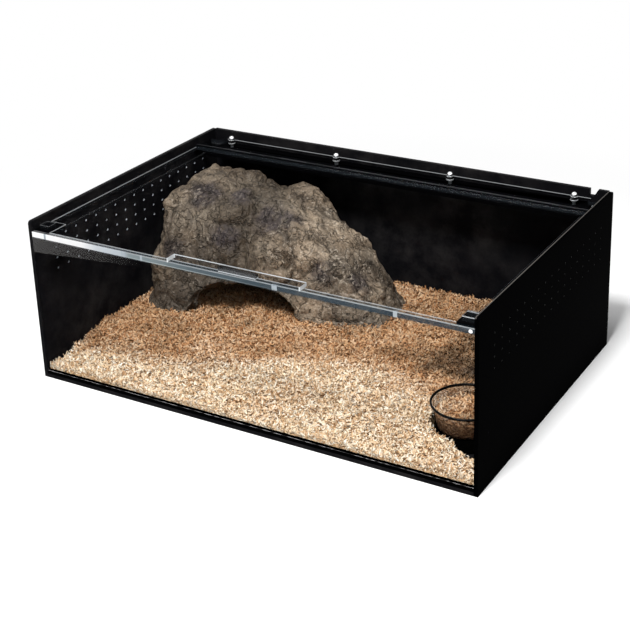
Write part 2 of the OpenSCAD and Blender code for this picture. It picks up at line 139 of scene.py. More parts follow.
def grey(v):
    return (v, v, v)


def close_finish(tree, shader):
    add(tree, "OutputMaterial", Surface=shader.outputs[0])


def give(finish, *names):
    for name in names:
        piece = nodes.get(name) or bpy.data.objects[name]
        piece.data.materials.clear()
        piece.data.materials.append(finish)


# %% [markdown]
# ## Words for the recipes
#
# The finishes ask the same few things again and again: where a ray lands, which way the
# face points there, how a soft noise runs, and how two shaders share the surface. Each
# gets a short name here. Node groups would do the same, but these need no wiring.

# %% Helpers for places, numbers and noises
def maths(tree, operation, *values):
    sockets = {f"_{k}": value for k, value in enumerate(values)}
    return add(tree, "Math", {"operation": operation}, **sockets).outputs[0]


def rescale(tree, value, source=(0, 1), target=(0, 1), ease="LINEAR"):
    """Moves a number from the source range to the target range and stops at the ends."""
    box = add(tree, "MapRange", {"interpolation_type": ease}, Value=value,
              From_Min=source[0], From_Max=source[1], To_Min=target[0], To_Max=target[1])
    return box.outputs[0]


def place_on(tree):
    return add(tree, "TexCoord").outputs["Object"]


def axes(tree, value):
    return add(tree, "SeparateXYZ", Vector=value).outputs


def facing_of(tree):
    """Which way a face points, as x, y and z."""
    return axes(tree, add(tree, "TexCoord").outputs["Normal"])


def speckle(tree, place, scale, detail, roughness=0.5):
    box = add(tree, "TexNoise", Vector=place, Scale=scale, Detail=detail, Roughness=roughness)
    return box.outputs["Fac"]


def mix_shaders(tree, share, first, second):
    return add(tree, "MixShader", _0=share, _1=first.outputs[0], _2=second.outputs[0])


# %% [markdown]
# ## The studio
#
# The floor is plain and nearly white, and it keeps the shadow of the box. A catalogue
# picture has a white background, so the far floor and the air show pure white to the
# camera, to mirrors and through clear sheets. The light paths node tells such rays from
# the rays that light the model, so the white background adds no light.

# %% Build the floor
FLOOR_HALF = 9.0
WHITE_FROM, WHITE_AT = 0.42, 0.95


def white_when_seen(tree):
    """1 for rays from the camera, a mirror or a clear sheet, 0 for rays that light the model."""
    path = add(tree, "LightPath")
    seen = maths(tree, "MAXIMUM", path.outputs["Is Camera Ray"], path.outputs["Is Glossy Ray"])
    return maths(tree, "MAXIMUM", seen, path.outputs["Is Transmission Ray"])


floor_corners = [(x * FLOOR_HALF, y * FLOOR_HALF, 0) for x, y in ((-1, -1), (1, -1), (1, 1), (-1, 1))]
floor = add_piece("floor", floor_corners, [(0, 1, 2, 3)])
paper, tree = start_finish("studio_paper")
matt = add(tree, "BsdfPrincipled", Base_Color=(0.93, 0.93, 0.93, 1), Roughness=0.9, Specular_IOR_Level=0.1)
bright = add(tree, "Emission", Color=(1, 1, 1, 1), Strength=1.0)
reach = add(tree, "VectorMath", {"operation": "LENGTH"}, _0=place_on(tree)).outputs["Value"]
far = rescale(tree, reach, (WHITE_FROM, WHITE_AT), ease="SMOOTHSTEP")
share = maths(tree, "MULTIPLY", far, white_when_seen(tree))
close_finish(tree, mix_shaders(tree, share, matt, bright))
floor.data.materials.append(paper)
print("floor", 2 * FLOOR_HALF, "m wide, white beyond", WHITE_AT, "m")

# %% [markdown]
# ## The lamps and the air
#
# Soft light comes from square lamps: the main one in front and above, a broad one
# overhead and a weak one from the front right. The air adds an even, dim light, so no
# shadow turns fully black. Together they light level ground so that a colour renders
# about as it is written.

# %% Hang the lamps and fill the air
def hang_lamp(name, place, aim, size, power):
    lamp = bpy.data.lights.new(name, "AREA")
    lamp.shape, lamp.size, lamp.size_y = "RECTANGLE", size, size
    lamp.energy = power
    holder = bpy.data.objects.new(name, lamp)
    holder.location = place
    holder.rotation_euler = (Vector(aim) - Vector(place)).to_track_quat("-Z", "Y").to_euler()
    bpy.context.collection.objects.link(holder)
    print(name, power, "W")


hang_lamp("lamp_main", (0.28, -1.0, 2.0), (0, 0, 0.05), 0.4, 56)
hang_lamp("lamp_top", (-0.3, -0.6, 2.3), (0, 0, 0), 1.0, 20)
hang_lamp("lamp_side", (2.0, -1.6, 1.4), (0, 0, 0.1), 1.2, 6)
world = bpy.data.worlds.new("studio_air")
world.use_nodes = True
air = world.node_tree
air.nodes.clear()
dim = add(air, "Background", Color=(1, 1, 1, 1), Strength=0.22)
white = add(air, "Background", Color=(1, 1, 1, 1), Strength=1.0)
add(air, "OutputWorld", Surface=mix_shaders(air, white_when_seen(air), dim, white).outputs[0])
bpy.context.scene.world = world
bpy.context.scene.view_settings.view_transform = "Standard"
print("air", world.name)

# %% [markdown]
# ## Black sheets
#
# The base, sides and back are cut from glossy black acrylic. The walls of their drilled
# air holes are raw and pale, and the light that catches each is painted in as one small
# bright spot, a painted highlight. Loose dots could stand for these spots, but they would
# show from outside too. So the finish asks where it is: masks pick the drilled faces, the
# height of each row and the depth in the sheet.

# %% Find the bright spots in the air holes
HAIR = 0.0002


def between(tree, value, low, high):
    """1 where the value lies between low and high, else 0."""
    above, below = maths(tree, "GREATER_THAN", value, low), maths(tree, "LESS_THAN", value, high)
    return maths(tree, "MULTIPLY", above, below)


def times(tree, first, second):
    return maths(tree, "MULTIPLY", first, second)


VENT_ROW_Z, VENT_PITCH_Z, GLINT_HALF = 0.178, 0.014, 0.0009
VENT_RUN, VENT_BAND = (-0.18, 0.18), (0.12, 0.19)
wall_in, wall_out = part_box("right_side_panel")[0].x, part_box("right_side_panel")[1].x


def painted_vent_glints(tree, depth):
    """1 on the small spot where light catches the drilled wall of each air hole, a painted highlight."""
    x, y, z = axes(tree, place_on(tree))
    drilled = times(tree, between(tree, facing_of(tree)[0], -0.5, 0.5), between(tree, y, *VENT_RUN))
    from_row = maths(tree, "SUBTRACT", z, VENT_ROW_Z - GLINT_HALF)
    off_row = maths(tree, "PINGPONG", from_row, VENT_PITCH_Z / 2)
    level = times(tree, between(tree, off_row, -1.0, GLINT_HALF), between(tree, z, *VENT_BAND))
    return times(tree, times(tree, drilled, level), between(tree, maths(tree, "ABSOLUTE", x), *depth))


print("air holes in walls", round(wall_out - wall_in, 4), "m thick")

# %% [markdown]
# ## Dust on the black sheets
#
# Such a sheet is never perfectly black once it holds shavings: fine wood dust clings to
# it in clouds. Two noises draw them, a fine one for their shape and a broad one for
# where they gather, and a third noise makes the gloss uneven. The thick pane mirrors
# the bedding in its foot, so the joint under it glitters.

# %% Mix the black sheet
def facing_up(tree):
    return between(tree, facing_of(tree)[2], 0.5, 2.0)


def mirror_foot(tree, shade, up):
    """Mirrors the bedding where the mask is 1, in flecks."""
    fleck = speckle(tree, place_on(tree), 170.0, 2.0)
    colour = ramp(tree, fleck, [(0.42, grey(0.05)), (0.62, grey(0.75))])
    return mix_shaders(tree, up, shade, add(tree, "BsdfGlossy", Color=colour, Roughness=0.03))


def black_sheet(name, black, dust, bend, glint, depth, edge=None, under_pane=False):
    """Dust and the painted glints of the air holes colour the sheet; edge is a painted highlight line in x on
    its upper cut.
    """
    finish, tree = start_finish(name)
    place = place_on(tree)
    drift = ramp(tree, speckle(tree, place, 26.0, 8.0, 0.72), [(0.40, grey(0)), (0.85, grey(1))])
    where = ramp(tree, speckle(tree, place, 7.0, 3.0), [(0.35, grey(0)), (0.75, grey(1))])
    amount = times(tree, mix_colour(tree, 1.0, drift, where, "MULTIPLY"), dust)
    base = mix_colour(tree, amount, (black, black, 1.2 * black, 1), (0.076, 0.069, 0.066, 1))
    base = mix_colour(tree, painted_vent_glints(tree, depth), base, (*glint, 1))
    if edge:
        # A painted highlight: a thin lighter line along the inner top edge.
        painted_edge_highlight = times(tree, facing_up(tree), between(tree, axes(tree, place)[0], *edge))
        base = mix_colour(tree, painted_edge_highlight, base, (0.07, 0.065, 0.06, 1))
    rough = rescale(tree, speckle(tree, place, 26.0, 4.0), target=(0.06, 0.22))
    shade = add(tree, "BsdfPrincipled", Base_Color=base, Roughness=rough, IOR=bend)
    if under_pane:
        top = between(tree, axes(tree, place)[2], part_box("front_bottom_strip")[1].z - HAIR, 1.0)
        shade = mirror_foot(tree, shade, times(tree, facing_up(tree), top))
    close_finish(tree, shade)
    return finish


RIM_IN = 0.0003
GLINT_LONG = 0.0016
EDGE_HIGHLIGHT_WIDTH = 0.0013
from_inside = (wall_in + RIM_IN, wall_in + RIM_IN + GLINT_LONG)
from_outside = (wall_out - RIM_IN - GLINT_LONG, wall_out - RIM_IN)
# The glint colours are painted highlights in the air holes: bright inside the left and back walls, faint
# outside the right wall.
bright_glint, faint_glint, no_glint = (0.55, 0.58, 0.62), (0.06, 0.06, 0.06), (0, 0, 0)
dusty = black_sheet("dusty_black_sheet", 0.0046, 0.55, 1.05, bright_glint, from_inside)
clean = black_sheet("clean_black_sheet", 0.0012, 0.0, 1.02, no_glint, from_inside)
footing = black_sheet("black_sheet_under_pane", 0.0006, 0.0, 1.02, no_glint, from_inside, under_pane=True)
# The right wall gets a painted highlight line along its inner top edge.
right_wall = black_sheet("right_black_sheet", 0.0005, 0.0, 1.01, faint_glint, from_outside,
                         edge=(wall_in, wall_in + EDGE_HIGHLIGHT_WIDTH))
give(dusty, "left_side_panel", "back_panel", "base_panel")
give(clean, "rear_ledge", "left_corner_plate", "right_corner_plate")
give(footing, "front_bottom_strip")
give(right_wall, "right_side_panel")
print("black sheets finished")

# %% [markdown]
# ## Clear sheets
#
# The pane, the lid and its ledges are clear acrylic. Their faces let nearly all light
# straight through, and reflect only when seen at a shallow angle. A cut edge is almost as
# clear as the face, but its sharp corner gathers light into a thin bright line, which is
# painted on as a highlight. So the recipe asks which way a face points and how near it is
# to the sheet's top: faces are clear, cuts are faintly grey, and the last millimetre of a
# cut carries the painted highlight.

# %% Mix the clear sheet
LINE, SHALLOW = 0.0012, 0.72


def sheen(tree, least, most):
    """The share of light that a clear face mirrors, which grows once the angle is shallow."""
    slant = add(tree, "LayerWeight", Blend=0.5).outputs["Facing"]
    return rescale(tree, slant, (SHALLOW, 1), (least, most))


def clear_face(tree):
    through = add(tree, "BsdfTransparent", Color=(0.98, 0.985, 0.99, 1))
    gloss = add(tree, "BsdfGlossy", Color=(1, 1, 1, 1), Roughness=0.02)
    return mix_shaders(tree, sheen(tree, 0.0, 0.10), through, gloss)


# pale is the colour of the painted highlight lines on the cuts; smoke is the faint grey of a cut.
smoke, pale = (0.05, 0.06, 0.07), (0.74, 0.77, 0.79)


def clear_sheet(name, sheet, highlight_share, cut_share, line_y=(-1.0, 1.0)):
    """A clear level sheet whose cuts carry a painted highlight line along the top, between two places in y.
    """
    finish, tree = start_finish(name)
    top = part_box(sheet)[1].z
    is_cut = between(tree, facing_of(tree)[2], -0.5, 0.5)
    _, y, z = axes(tree, place_on(tree))
    # The bright line at the top of each cut is a painted highlight.
    painted_highlight_line = times(tree, between(tree, z, top - LINE, 1.0), between(tree, y, *line_y))
    colour = mix_colour(tree, painted_highlight_line, (*smoke, 1), (*pale, 1))
    amount = rescale(tree, painted_highlight_line, target=(cut_share, highlight_share))
    edge = add(tree, "BsdfPrincipled", Base_Color=colour, Roughness=0.2)
    close_finish(tree, mix_shaders(tree, times(tree, is_cut, amount), clear_face(tree), edge))
    return finish


print("bright lines are", 1000 * LINE, "mm wide")


# %% [markdown]
# ## Sheets with marks of their own
#
# The rear strip and the lifting strip have painted highlight lines on some edges only,
# and the lifting strip has a slot with painted shade on its sides. One recipe takes a list
# of patches, each with a colour, a strength and the bounds that it lies between. The pane
# is clear but for a pale wedge under its upper left corner, a painted reflection of the
# light that the rail throws back onto it.

# %% Mix the marked sheets
def marked_sheet(name, *patches):
    """A clear sheet with painted patches: each is a colour, a share and the masks that bound it."""
    finish, tree = start_finish(name)
    facing, place = facing_of(tree), axes(tree, place_on(tree))
    colour, amount = (0, 0, 0, 1), 0.0
    for paint, share, *bounds in patches:
        inside = 1.0
        for kind, axis, low, high in bounds:
            value = (facing if kind == "facing" else place)[axis]
            inside = times(tree, inside, between(tree, value, low, high))
        colour = mix_colour(tree, inside, colour, (*paint, 1))
        amount = add(tree, "Mix", {"data_type": "FLOAT"}, _0=inside, _2=amount, _3=share).outputs[0]
    edge = add(tree, "BsdfPrincipled", Base_Color=colour, Roughness=0.2)
    close_finish(tree, mix_shaders(tree, amount, clear_face(tree), edge))
    return finish


# The pale wedge is a painted reflection of the light that the rail throws back onto the pane.
REFLECTION_WEDGE_X, REFLECTION_WEDGE_DEPTH, REFLECTION_WEDGE_SHARE = (-0.295, -0.130), 0.019, 0.22


def pane_with_painted_reflection():
    """The clear pane, with a painted reflection: the pale wedge of reflected light under its upper left
    corner.
    """
    finish, tree = start_finish("clear_pane")
    x, y, z = axes(tree, place_on(tree))
    pane_low, pane_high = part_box("front_pane")
    depth = rescale(tree, x, REFLECTION_WEDGE_X, (pane_high.z - REFLECTION_WEDGE_DEPTH, pane_high.z - 0.35 * REFLECTION_WEDGE_DEPTH))
    above = maths(tree, "GREATER_THAN", z, depth)
    front = between(tree, y, -1.0, pane_low.y + HAIR)
    share = times(tree, times(tree, above, front), rescale(tree, x, REFLECTION_WEDGE_X, (REFLECTION_WEDGE_SHARE, 0)))
    reflection_paint = add(tree, "BsdfDiffuse", Color=(0.20, 0.195, 0.19, 1))
    face_and_reflection = mix_shaders(tree, share, clear_face(tree), reflection_paint)
    close_finish(tree, mirror_foot(tree, face_and_reflection, between(tree, z, -1.0, pane_low.z + HAIR)))
    return finish


print("the wedge is", round(REFLECTION_WEDGE_X[1] - REFLECTION_WEDGE_X[0], 3), "m long")


# %% [markdown]
# ## Handing out the clear sheets
#
# Each sheet gets painted highlight lines of its own strength. The lid's cut shows
# brightest, the left ledge hardly shows, and the small right block is bright. The finger
# slot in the lifting strip has painted shade on its sides and a painted highlight along its
# lower edge.

# %% Finish the clear sheets
ANY = 9.0
CUT = ("facing", 2, -0.5, 0.5)
lid_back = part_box("lid_panel")[1].y
strip_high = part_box("rear_lid_strip")[1]
handle_low, handle_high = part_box("lid_handle")
SLOT_X, SLOT_INSET = (-0.0215, 0.0295), 0.0038
in_slot = ("place", 0, *SLOT_X), ("place", 1, handle_low.y + SLOT_INSET, handle_high.y - SLOT_INSET)
# The slot's sides are painted dark as painted shade, and its lower edge gets a painted highlight.
slot_painted_shade = (0.008, 0.009, 0.01)

give(clear_sheet("clear_lid", "lid_panel", 0.45, 0.12, line_y=(-1.0, lid_back - 0.002)), "lid_panel")
give(clear_sheet("clear_ledge", "left_ledge", 0.06, 0.03), "left_ledge", "front_ledge")
give(clear_sheet("clear_right_ledge", "right_ledge", 0.45, 0.12), "right_ledge")
give(clear_sheet("clear_left_block", "left_corner_block", 0.10, 0.05), "left_corner_block")
give(clear_sheet("clear_right_block", "right_corner_block", 0.6, 0.15), "right_corner_block")
give(clear_sheet("clear_leaf", "hinge_lid_leaf", 0.0, 0.03), "hinge_fixed_leaf", "hinge_lid_leaf")
give(pane_with_painted_reflection(), "front_pane")
give(marked_sheet(
    "clear_strip", (smoke, 0.15, CUT),
    (pale, 0.45, ("place", 1, strip_high.y - 1.3 * LINE, ANY), ("place", 2, strip_high.z - LINE, ANY)),
), "rear_lid_strip")
give(marked_sheet(
    "clear_handle", (smoke, 0.12, CUT),
    (pale, 0.75, CUT, ("place", 1, handle_high.y - LINE, ANY), ("place", 2, handle_high.z - LINE, ANY)),
    (pale, 0.85, CUT, ("place", 0, handle_high.x - LINE, ANY)),
    (pale, 0.85, CUT, ("place", 0, -ANY, handle_low.x + LINE)),
    (slot_painted_shade, 0.85, *in_slot, CUT),
    (pale, 0.6, *in_slot, ("place", 2, -ANY, handle_low.z + LINE), CUT),
), "lid_handle")
print("clear sheets finished")

# %% [markdown]
# ## The front rail
#
# The rail on top of the pane is the brightest line of the front. Its tones are painted
# light: the left end, where it catches the lamp, is painted white, and the rest a cool grey
# that darkens to the right, with a painted highlight line above and below. A few pale marks
# show where it is glued, and each end holds a white round spot, a painted glint. The
# finish is a map along the rail: the place along it chooses the tone, and the height band
# or line.

# %% Finish the front rail
END_GLINT_OUT, END_GLINT_RADIUS, CLEAR_FOOT = 0.2905, 0.0022, 0.0014
RAIL_MARKS = ((-0.2765, -0.2735), (-0.1585, -0.1545), (-0.1310, -0.1280), (0.0500, 0.0570), (0.2010, 0.2060))
# Painted light along the rail: white where the lamp catches the left end, darkening to the right.
RAIL_PAINTED_LIGHT = [(0.0, grey(0.85)), (0.13, grey(0.75)), (0.17, (0.48, 0.51, 0.54)), (0.235, (0.38, 0.42, 0.46)),
              (0.25, (0.20, 0.24, 0.25)), (0.40, (0.08, 0.105, 0.12)), (0.60, (0.030, 0.046, 0.060)),
              (1.0, (0.018, 0.030, 0.041))]


def rail_end_glint(tree, x, z, middle_z):
    """1 on the white round spot, a painted glint, in each end of the rail."""
    out = maths(tree, "SUBTRACT", maths(tree, "ABSOLUTE", x), END_GLINT_OUT)
    gap = add(tree, "CombineXYZ", _0=out, _1=maths(tree, "SUBTRACT", z, middle_z))
    radius = add(tree, "VectorMath", {"operation": "LENGTH"}, _0=gap.outputs[0])
    return between(tree, radius.outputs["Value"], -1.0, END_GLINT_RADIUS)


def rail_finish():
    finish, tree = start_finish("clear_rail_with_painted_light")
    low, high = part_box("front_top_rail")
    x, y, z = axes(tree, place_on(tree))
    tone = ramp(tree, rescale(tree, x, (low.x, high.x)), RAIL_PAINTED_LIGHT)
    seen_low = low.z + CLEAR_FOOT
    front = times(tree, between(tree, y, -1.0, low.y + LINE / 2), between(tree, z, seen_low, 1.0))
    left_share = rescale(tree, x, (0.06, -0.10))
    # The line along the top and the lower line at the left are painted highlights.
    for lines, share, colour in (((high.z - LINE, 1.0), 1.0, (0.28, 0.30, 0.31, 1)),
                                 ((0.0, seen_low + LINE), left_share, (0.28, 0.32, 0.33, 1))):
        line = times(tree, times(tree, front, share), between(tree, z, *lines))
        tone = mix_colour(tree, line, tone, colour, "LIGHTEN")
    for marks in RAIL_MARKS:
        tone = mix_colour(tree, between(tree, x, *marks), tone, (0.34, 0.38, 0.41, 1))
    tone = mix_colour(tree, rail_end_glint(tree, x, z, (low.z + high.z) / 2), tone, (0.95, 0.95, 0.95, 1))
    shade = add(tree, "BsdfPrincipled", Base_Color=tone, Roughness=0.15, IOR=1.15)
    through = add(tree, "BsdfTransparent", Color=(0.9, 0.93, 0.95, 1))
    close_finish(tree, mix_shaders(tree, rescale(tree, front, target=(0.10, 0.85)), through, shade))
    return finish


give(rail_finish(), "front_top_rail")
print("rail finished with", len(RAIL_MARKS), "marks and a pin at each end")

# %% [markdown]
# ## Steel fittings
#
# Four plated cap nuts hold the rear strip down. Plated steel is a metal with low
# roughness, and fine brush marks break its shine a little. The screws and washers are
# plainer, and the hinge wire is dull and dark.

# %% Finish the metal
def steel_finish(name, colour, low, high):
    finish, tree = start_finish(name)
    rough = rescale(tree, speckle(tree, place_on(tree), 900.0, 3.0), target=(low, high))
    close_finish(tree, add(tree, "BsdfPrincipled", Base_Color=colour, Metallic=1.0, Roughness=rough))
    return finish


give(steel_finish("plated_nut", (0.86, 0.87, 0.88, 1), 0.08, 0.2), "cap_nuts")
give(steel_finish("plain_steel", (0.5, 0.51, 0.52, 1), 0.25, 0.45), "strip_screws", "strip_washers")
give(steel_finish("dull_wire", (0.03, 0.03, 0.032, 1), 0.5, 0.7), "hinge_pin")
print("metal finished")

# %% [markdown]
# ## The lie of the bedding
#
# Shavings are poured in and pushed about, so they rise from the pane to the back, heap
# round the bowl and lie level under the rock. One formula gives the height anywhere, and
# both the bed and the loose shavings on it use that formula. It needs the places of the
# pane, the rock and the bowl, and these are measured on the ready-made parts.

# %% Measure where things stand
base_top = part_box("base_panel")[1].z
bed_low, bed_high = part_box("bedding")
rock_low, rock_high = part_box("rock_hide")
bowl_low, bowl_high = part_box("water_bowl")
bowl_mid = (bowl_low + bowl_high) / 2
pane_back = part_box("front_pane")[1].y

ROCK_MID = ((rock_low.x + rock_high.x) / 2, 0.092)
ROCK_HALF = (rock_high.x - rock_low.x) / 2
ROCK_BACK, ROCK_FRONT_LEFT, ROCK_FRONT_RIGHT = 0.085, 0.135, 0.043
FRONT_TAPER, SQUARE = 1.6, 5
ROCK_FOOT_Z = rock_low.z
print("rock middle", ROCK_MID, "half length", round(ROCK_HALF, 3))


def smooth_step(t):
    t = np.clip(t, 0, 1)
    return t * t * (3 - 2 * t)


def rock_depth(u, front):
    share = ((1 - np.clip(u, -1, 1)) / 2) ** FRONT_TAPER
    return np.where(front, ROCK_FRONT_RIGHT + (ROCK_FRONT_LEFT - ROCK_FRONT_RIGHT) * share, ROCK_BACK)


# %% [markdown]
# ## One formula for the height
#
# The height is a sum of simple things: a rise, two long waves, a heap, clumps made of
# crossed sines, and small noise. A second formula gives the painted shade, which darkens
# the bedding towards the back and beside the right wall. A sculpted surface would do too,
# but a formula is easy to change and always fits.

# %% The height of the bedding
FRONT_Z, BACK_Z, RISE = 0.011, 0.027, 2.6
WAVE, WAVE_LENGTH, CLUMP, CLUMP_LENGTH, CLUMP_SWING = 0.001, 0.17, 0.002, 0.04, math.radians(120)
HEAP, HEAP_RADIUS = 0.016, 0.07
LEVEL_MARGIN, LEVEL_BLEND = 0.024, 0.35
HOLE_RADIUS = 0.0425
PANE_HEAP, PANE_REACH = 0.0022, 0.012
SMALL_LUMP = 0.0022
BARE, BARE_HALF = (0.2710, -0.1420), (0.026, 0.017)


def level_share(x, y):
    """0 on the level patch under the rock, 1 where the bedding lies free."""
    dx, dy = x - ROCK_MID[0], y - ROCK_MID[1]
    u = dx / (ROCK_HALF + LEVEL_MARGIN)
    v = dy / (rock_depth(dx / ROCK_HALF, dy < 0) + LEVEL_MARGIN)
    reach = (np.abs(u) ** SQUARE + np.abs(v) ** SQUARE) ** (1 / SQUARE)
    return smooth_step((reach - 1) / LEVEL_BLEND)


def small_lumps(x, y):
    def lump(a, b):
        return noise.noise(Vector((a * 70, b * 70, 9))) + 0.5 * noise.noise(Vector((a * 170, b * 170, 2)))

    return np.array([lump(a, b) for a, b in zip(np.ravel(x), np.ravel(y))]).reshape(np.shape(x))


def bed_height(x, y):
    depth = (y - pane_back) / (bed_high.y - pane_back)
    turn = 2 * np.pi / WAVE_LENGTH
    wave = WAVE * (np.sin(turn * (x + y / 3)) + np.sin(turn * (1.2 * y - x / 2)))
    heap = HEAP * np.exp(-((x - bowl_mid.x) ** 2 + (y - bowl_mid.y) ** 2) / HEAP_RADIUS**2)
    heap = heap + PANE_HEAP * np.exp(-(y - pane_back) / PANE_REACH)
    turn = 2 * np.pi / CLUMP_LENGTH
    clump = (np.sin(turn * x + CLUMP_SWING * np.sin(turn * y / 2.3))
             * np.sin(turn * y + CLUMP_SWING * np.sin(turn * x / 1.9)))
    free = FRONT_Z + (BACK_Z - FRONT_Z) * smooth_step(depth * RISE) + wave + heap + CLUMP * clump
    return ROCK_FOOT_Z + (free - ROCK_FOOT_Z) * level_share(x, y) + SMALL_LUMP * small_lumps(x, y)


def bare_share(x, y):
    """Below 1 in the gap by the bowl where no shavings lie."""
    return np.hypot((x - BARE[0]) / BARE_HALF[0], (y - BARE[1]) / BARE_HALF[1])


def painted_bed_shade(x, y):
    """Painted shade: 0 and pale along the pane, rising towards the back and beside the right wall, where less
    light falls.
    """
    dry_edge = -0.160 + 0.10 * smooth_step((x + 0.2) / 0.3)
    back = smooth_step((y - dry_edge) / 0.06)
    right = smooth_step((x - 0.08) / 0.15) * smooth_step((y + 0.11) / 0.06)
    return 0.62 * back + 0.62 * right


ends = bed_height(np.zeros(2), np.array([bed_low.y, bed_high.y]))
print("bedding", np.round(ends, 4), "m high at the pane and at the back")

# %% [markdown]
# ## The bed
#
# The bed is one sheet of small squares at the formula's height, a little below the loose
# shavings. The squares over the bowl's place and the bare patch are left out. A skirt
# hangs from every open edge down to the base, so that no gap shows from the side.

# %% Lay the bed
BED_SINK, WALL_GAP = 0.0018, 0.0003


def mark(mesh, name, values):
    attribute = mesh.attributes.new(name, "FLOAT", "POINT")
    attribute.data.foreach_set("value", np.ascontiguousarray(values, dtype=np.float32))


def hang_skirt(points, faces):
    """Drops a wall of faces from every open edge down to the base."""
    used, faces_used = np.unique(faces, return_inverse=True)
    points, faces = points[used], faces_used.reshape(-1, 4)
    edges = np.stack([faces, np.roll(faces, -1, axis=1)], -1).reshape(-1, 2)
    _, first, count = np.unique(np.sort(edges, axis=1), axis=0, return_index=True, return_counts=True)
    rim = edges[first[count == 1]]
    rim_points = np.unique(rim)
    low = points[rim_points].copy()
    low[:, 2] = base_top + WALL_GAP
    below = np.zeros(len(points), int)
    below[rim_points] = len(points) + np.arange(len(rim_points))
    skirt = np.stack([rim[:, 1], rim[:, 0], below[rim[:, 0]], below[rim[:, 1]]], -1)
    return np.concatenate([points, low]), np.concatenate([faces, skirt])


def lay_bed(cell=0.003):
    x = np.linspace(bed_low.x, bed_high.x, int((bed_high.x - bed_low.x) / cell))
    y = np.linspace(bed_low.y, bed_high.y, int((bed_high.y - bed_low.y) / cell))
    gx, gy = np.meshgrid(x, y)
    points = np.stack([gx, gy, bed_height(gx, gy) - BED_SINK], -1).reshape(-1, 3)
    outside_hole = np.hypot(gx - bowl_mid.x, gy - bowl_mid.y) > HOLE_RADIUS
    keep = (outside_hole & (bare_share(gx, gy) > 1)).reshape(-1)
    row = len(x)
    corners = np.array([(j * row + i, j * row + i + 1, (j + 1) * row + i + 1, (j + 1) * row + i)
                        for j in range(len(y) - 1) for i in range(row - 1)])
    points, faces = hang_skirt(points, corners[keep[corners].all(1)])
    bed = add_piece("shavings_bed", points, faces)
    mark(bed.data, "shade_level", painted_bed_shade(points[:, 0], points[:, 1]))
    print("bed", len(bed.data.polygons), "faces")
    return bed


bed = lay_bed()
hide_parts("bedding")

# %% [markdown]
# ## Thousands of shavings
#
# A shaving is a thin curled strip of wood. Each one here is a strip of three short faces
# bent round a small circle, turned at random and half sunk in the bed. All strips of one
# patch are one mesh, because Blender handles one big mesh better than thousands of small
# objects. Every strip carries two numbers, its tone and the painted shade of its place,
# and the finish takes its colour from them.

# %% Curl one patch of shavings
STEPS = 3
FLAKE_LENGTH, FLAKE_WIDTH, CURL_RADIUS = (0.0038, 0.0115), (0.0008, 0.0021), (0.0016, 0.007)


def turn_about(points, angle, a, b):
    c, s = np.cos(angle)[:, None], np.sin(angle)[:, None]
    turned = points.copy()
    turned[..., a] = c * points[..., a] - s * points[..., b]
    turned[..., b] = s * points[..., a] + c * points[..., b]
    return turned


def curl_shavings(name, spots, seed, tilt=0.40, lift=0.0024):
    """Lays one curled strip on each spot, an (n, 3) array of places."""
    rng = np.random.default_rng(seed)
    n = len(spots)
    length, width = rng.uniform(*FLAKE_LENGTH, n), rng.uniform(*FLAKE_WIDTH, n)
    radius = rng.uniform(*CURL_RADIUS, n)
    t = np.linspace(-0.5, 0.5, STEPS + 1)[None, :]
    bend = t * (length / radius)[:, None]
    along = np.sin(bend) * radius[:, None]
    up = (np.cos(bend) - 1) * (radius * rng.choice([-1, 1], n))[:, None]
    taper = 1 - np.abs(t) * rng.uniform(0, 1, n)[:, None]
    sides = [np.stack([along, side * width[:, None] * taper, up], -1) for side in (-0.5, 0.5)]
    strip = np.stack(sides, 2).reshape(n, -1, 3)
    strip = turn_about(strip, rng.normal(0, 0.5, n), 1, 2)
    strip = turn_about(strip, rng.normal(0, tilt, n), 0, 2)
    strip = turn_about(strip, rng.uniform(0, 2 * np.pi, n), 0, 1)
    raised = spots + np.stack([0 * length, 0 * length, rng.uniform(-0.0008, lift, n)], -1)
    points = (strip + raised[:, None, :]).reshape(-1, 3)
    points[:, 0] = np.clip(points[:, 0], bed_low.x - WALL_GAP, bed_high.x + WALL_GAP)
    points[:, 1] = np.clip(points[:, 1], bed_low.y - WALL_GAP, bed_high.y + WALL_GAP)
    points[:, 2] = np.maximum(points[:, 2], base_top + WALL_GAP)
    per = 2 * (STEPS + 1)
    quad = np.array([[2 * i, 2 * i + 1, 2 * i + 3, 2 * i + 2] for i in range(STEPS)])
    faces = (quad[None] + per * np.arange(n)[:, None, None]).reshape(-1, 4)
    piece = add_piece(name, points, faces)
    mark(piece.data, "tone", np.repeat(rng.uniform(0, 1, n), per))
    mark(piece.data, "shade_level", np.repeat(painted_bed_shade(spots[:, 0], spots[:, 1]), per))
    print(name, n, "shavings")
    return piece


# %% [markdown]
# ## Scattering the shavings
#
# The spots are drawn at random with a fixed seed, so the bed looks the same each time.
# A particle system could scatter them too, but it would copy a few strips many times.
# Here each strip is its own shape. Spots over the bowl and the bare patch are dropped.

# %% Scatter shavings over the bed
COLUMNS = 3
FRONT_COUNT, REAR_COUNT, EDGE_COUNT, PANE_COUNT = 10500, 15000, 2600, 1900
ROW_SPLIT = -0.06


def spots_on_bed(x, y):
    free = (np.hypot(x - bowl_mid.x, y - bowl_mid.y) > HOLE_RADIUS) & (bare_share(x, y) > 1.02)
    x, y = x[free], y[free]
    return np.stack([x, y, bed_height(x, y)], -1)


patches = []
borders = np.linspace(bed_low.x, bed_high.x, COLUMNS + 1)
rows = [("front", FRONT_COUNT, bed_low.y, ROW_SPLIT), ("rear", REAR_COUNT, ROW_SPLIT, bed_high.y)]
for k in range(COLUMNS):
    for row, (place, count, y0, y1) in enumerate(rows):
        rng = np.random.default_rng(40 + 2 * k + row)
        spots = spots_on_bed(rng.uniform(borders[k], borders[k + 1], count), rng.uniform(y0, y1, count))
        patches.append(curl_shavings(f"shavings_{place}_{k}", spots, 60 + 2 * k + row))

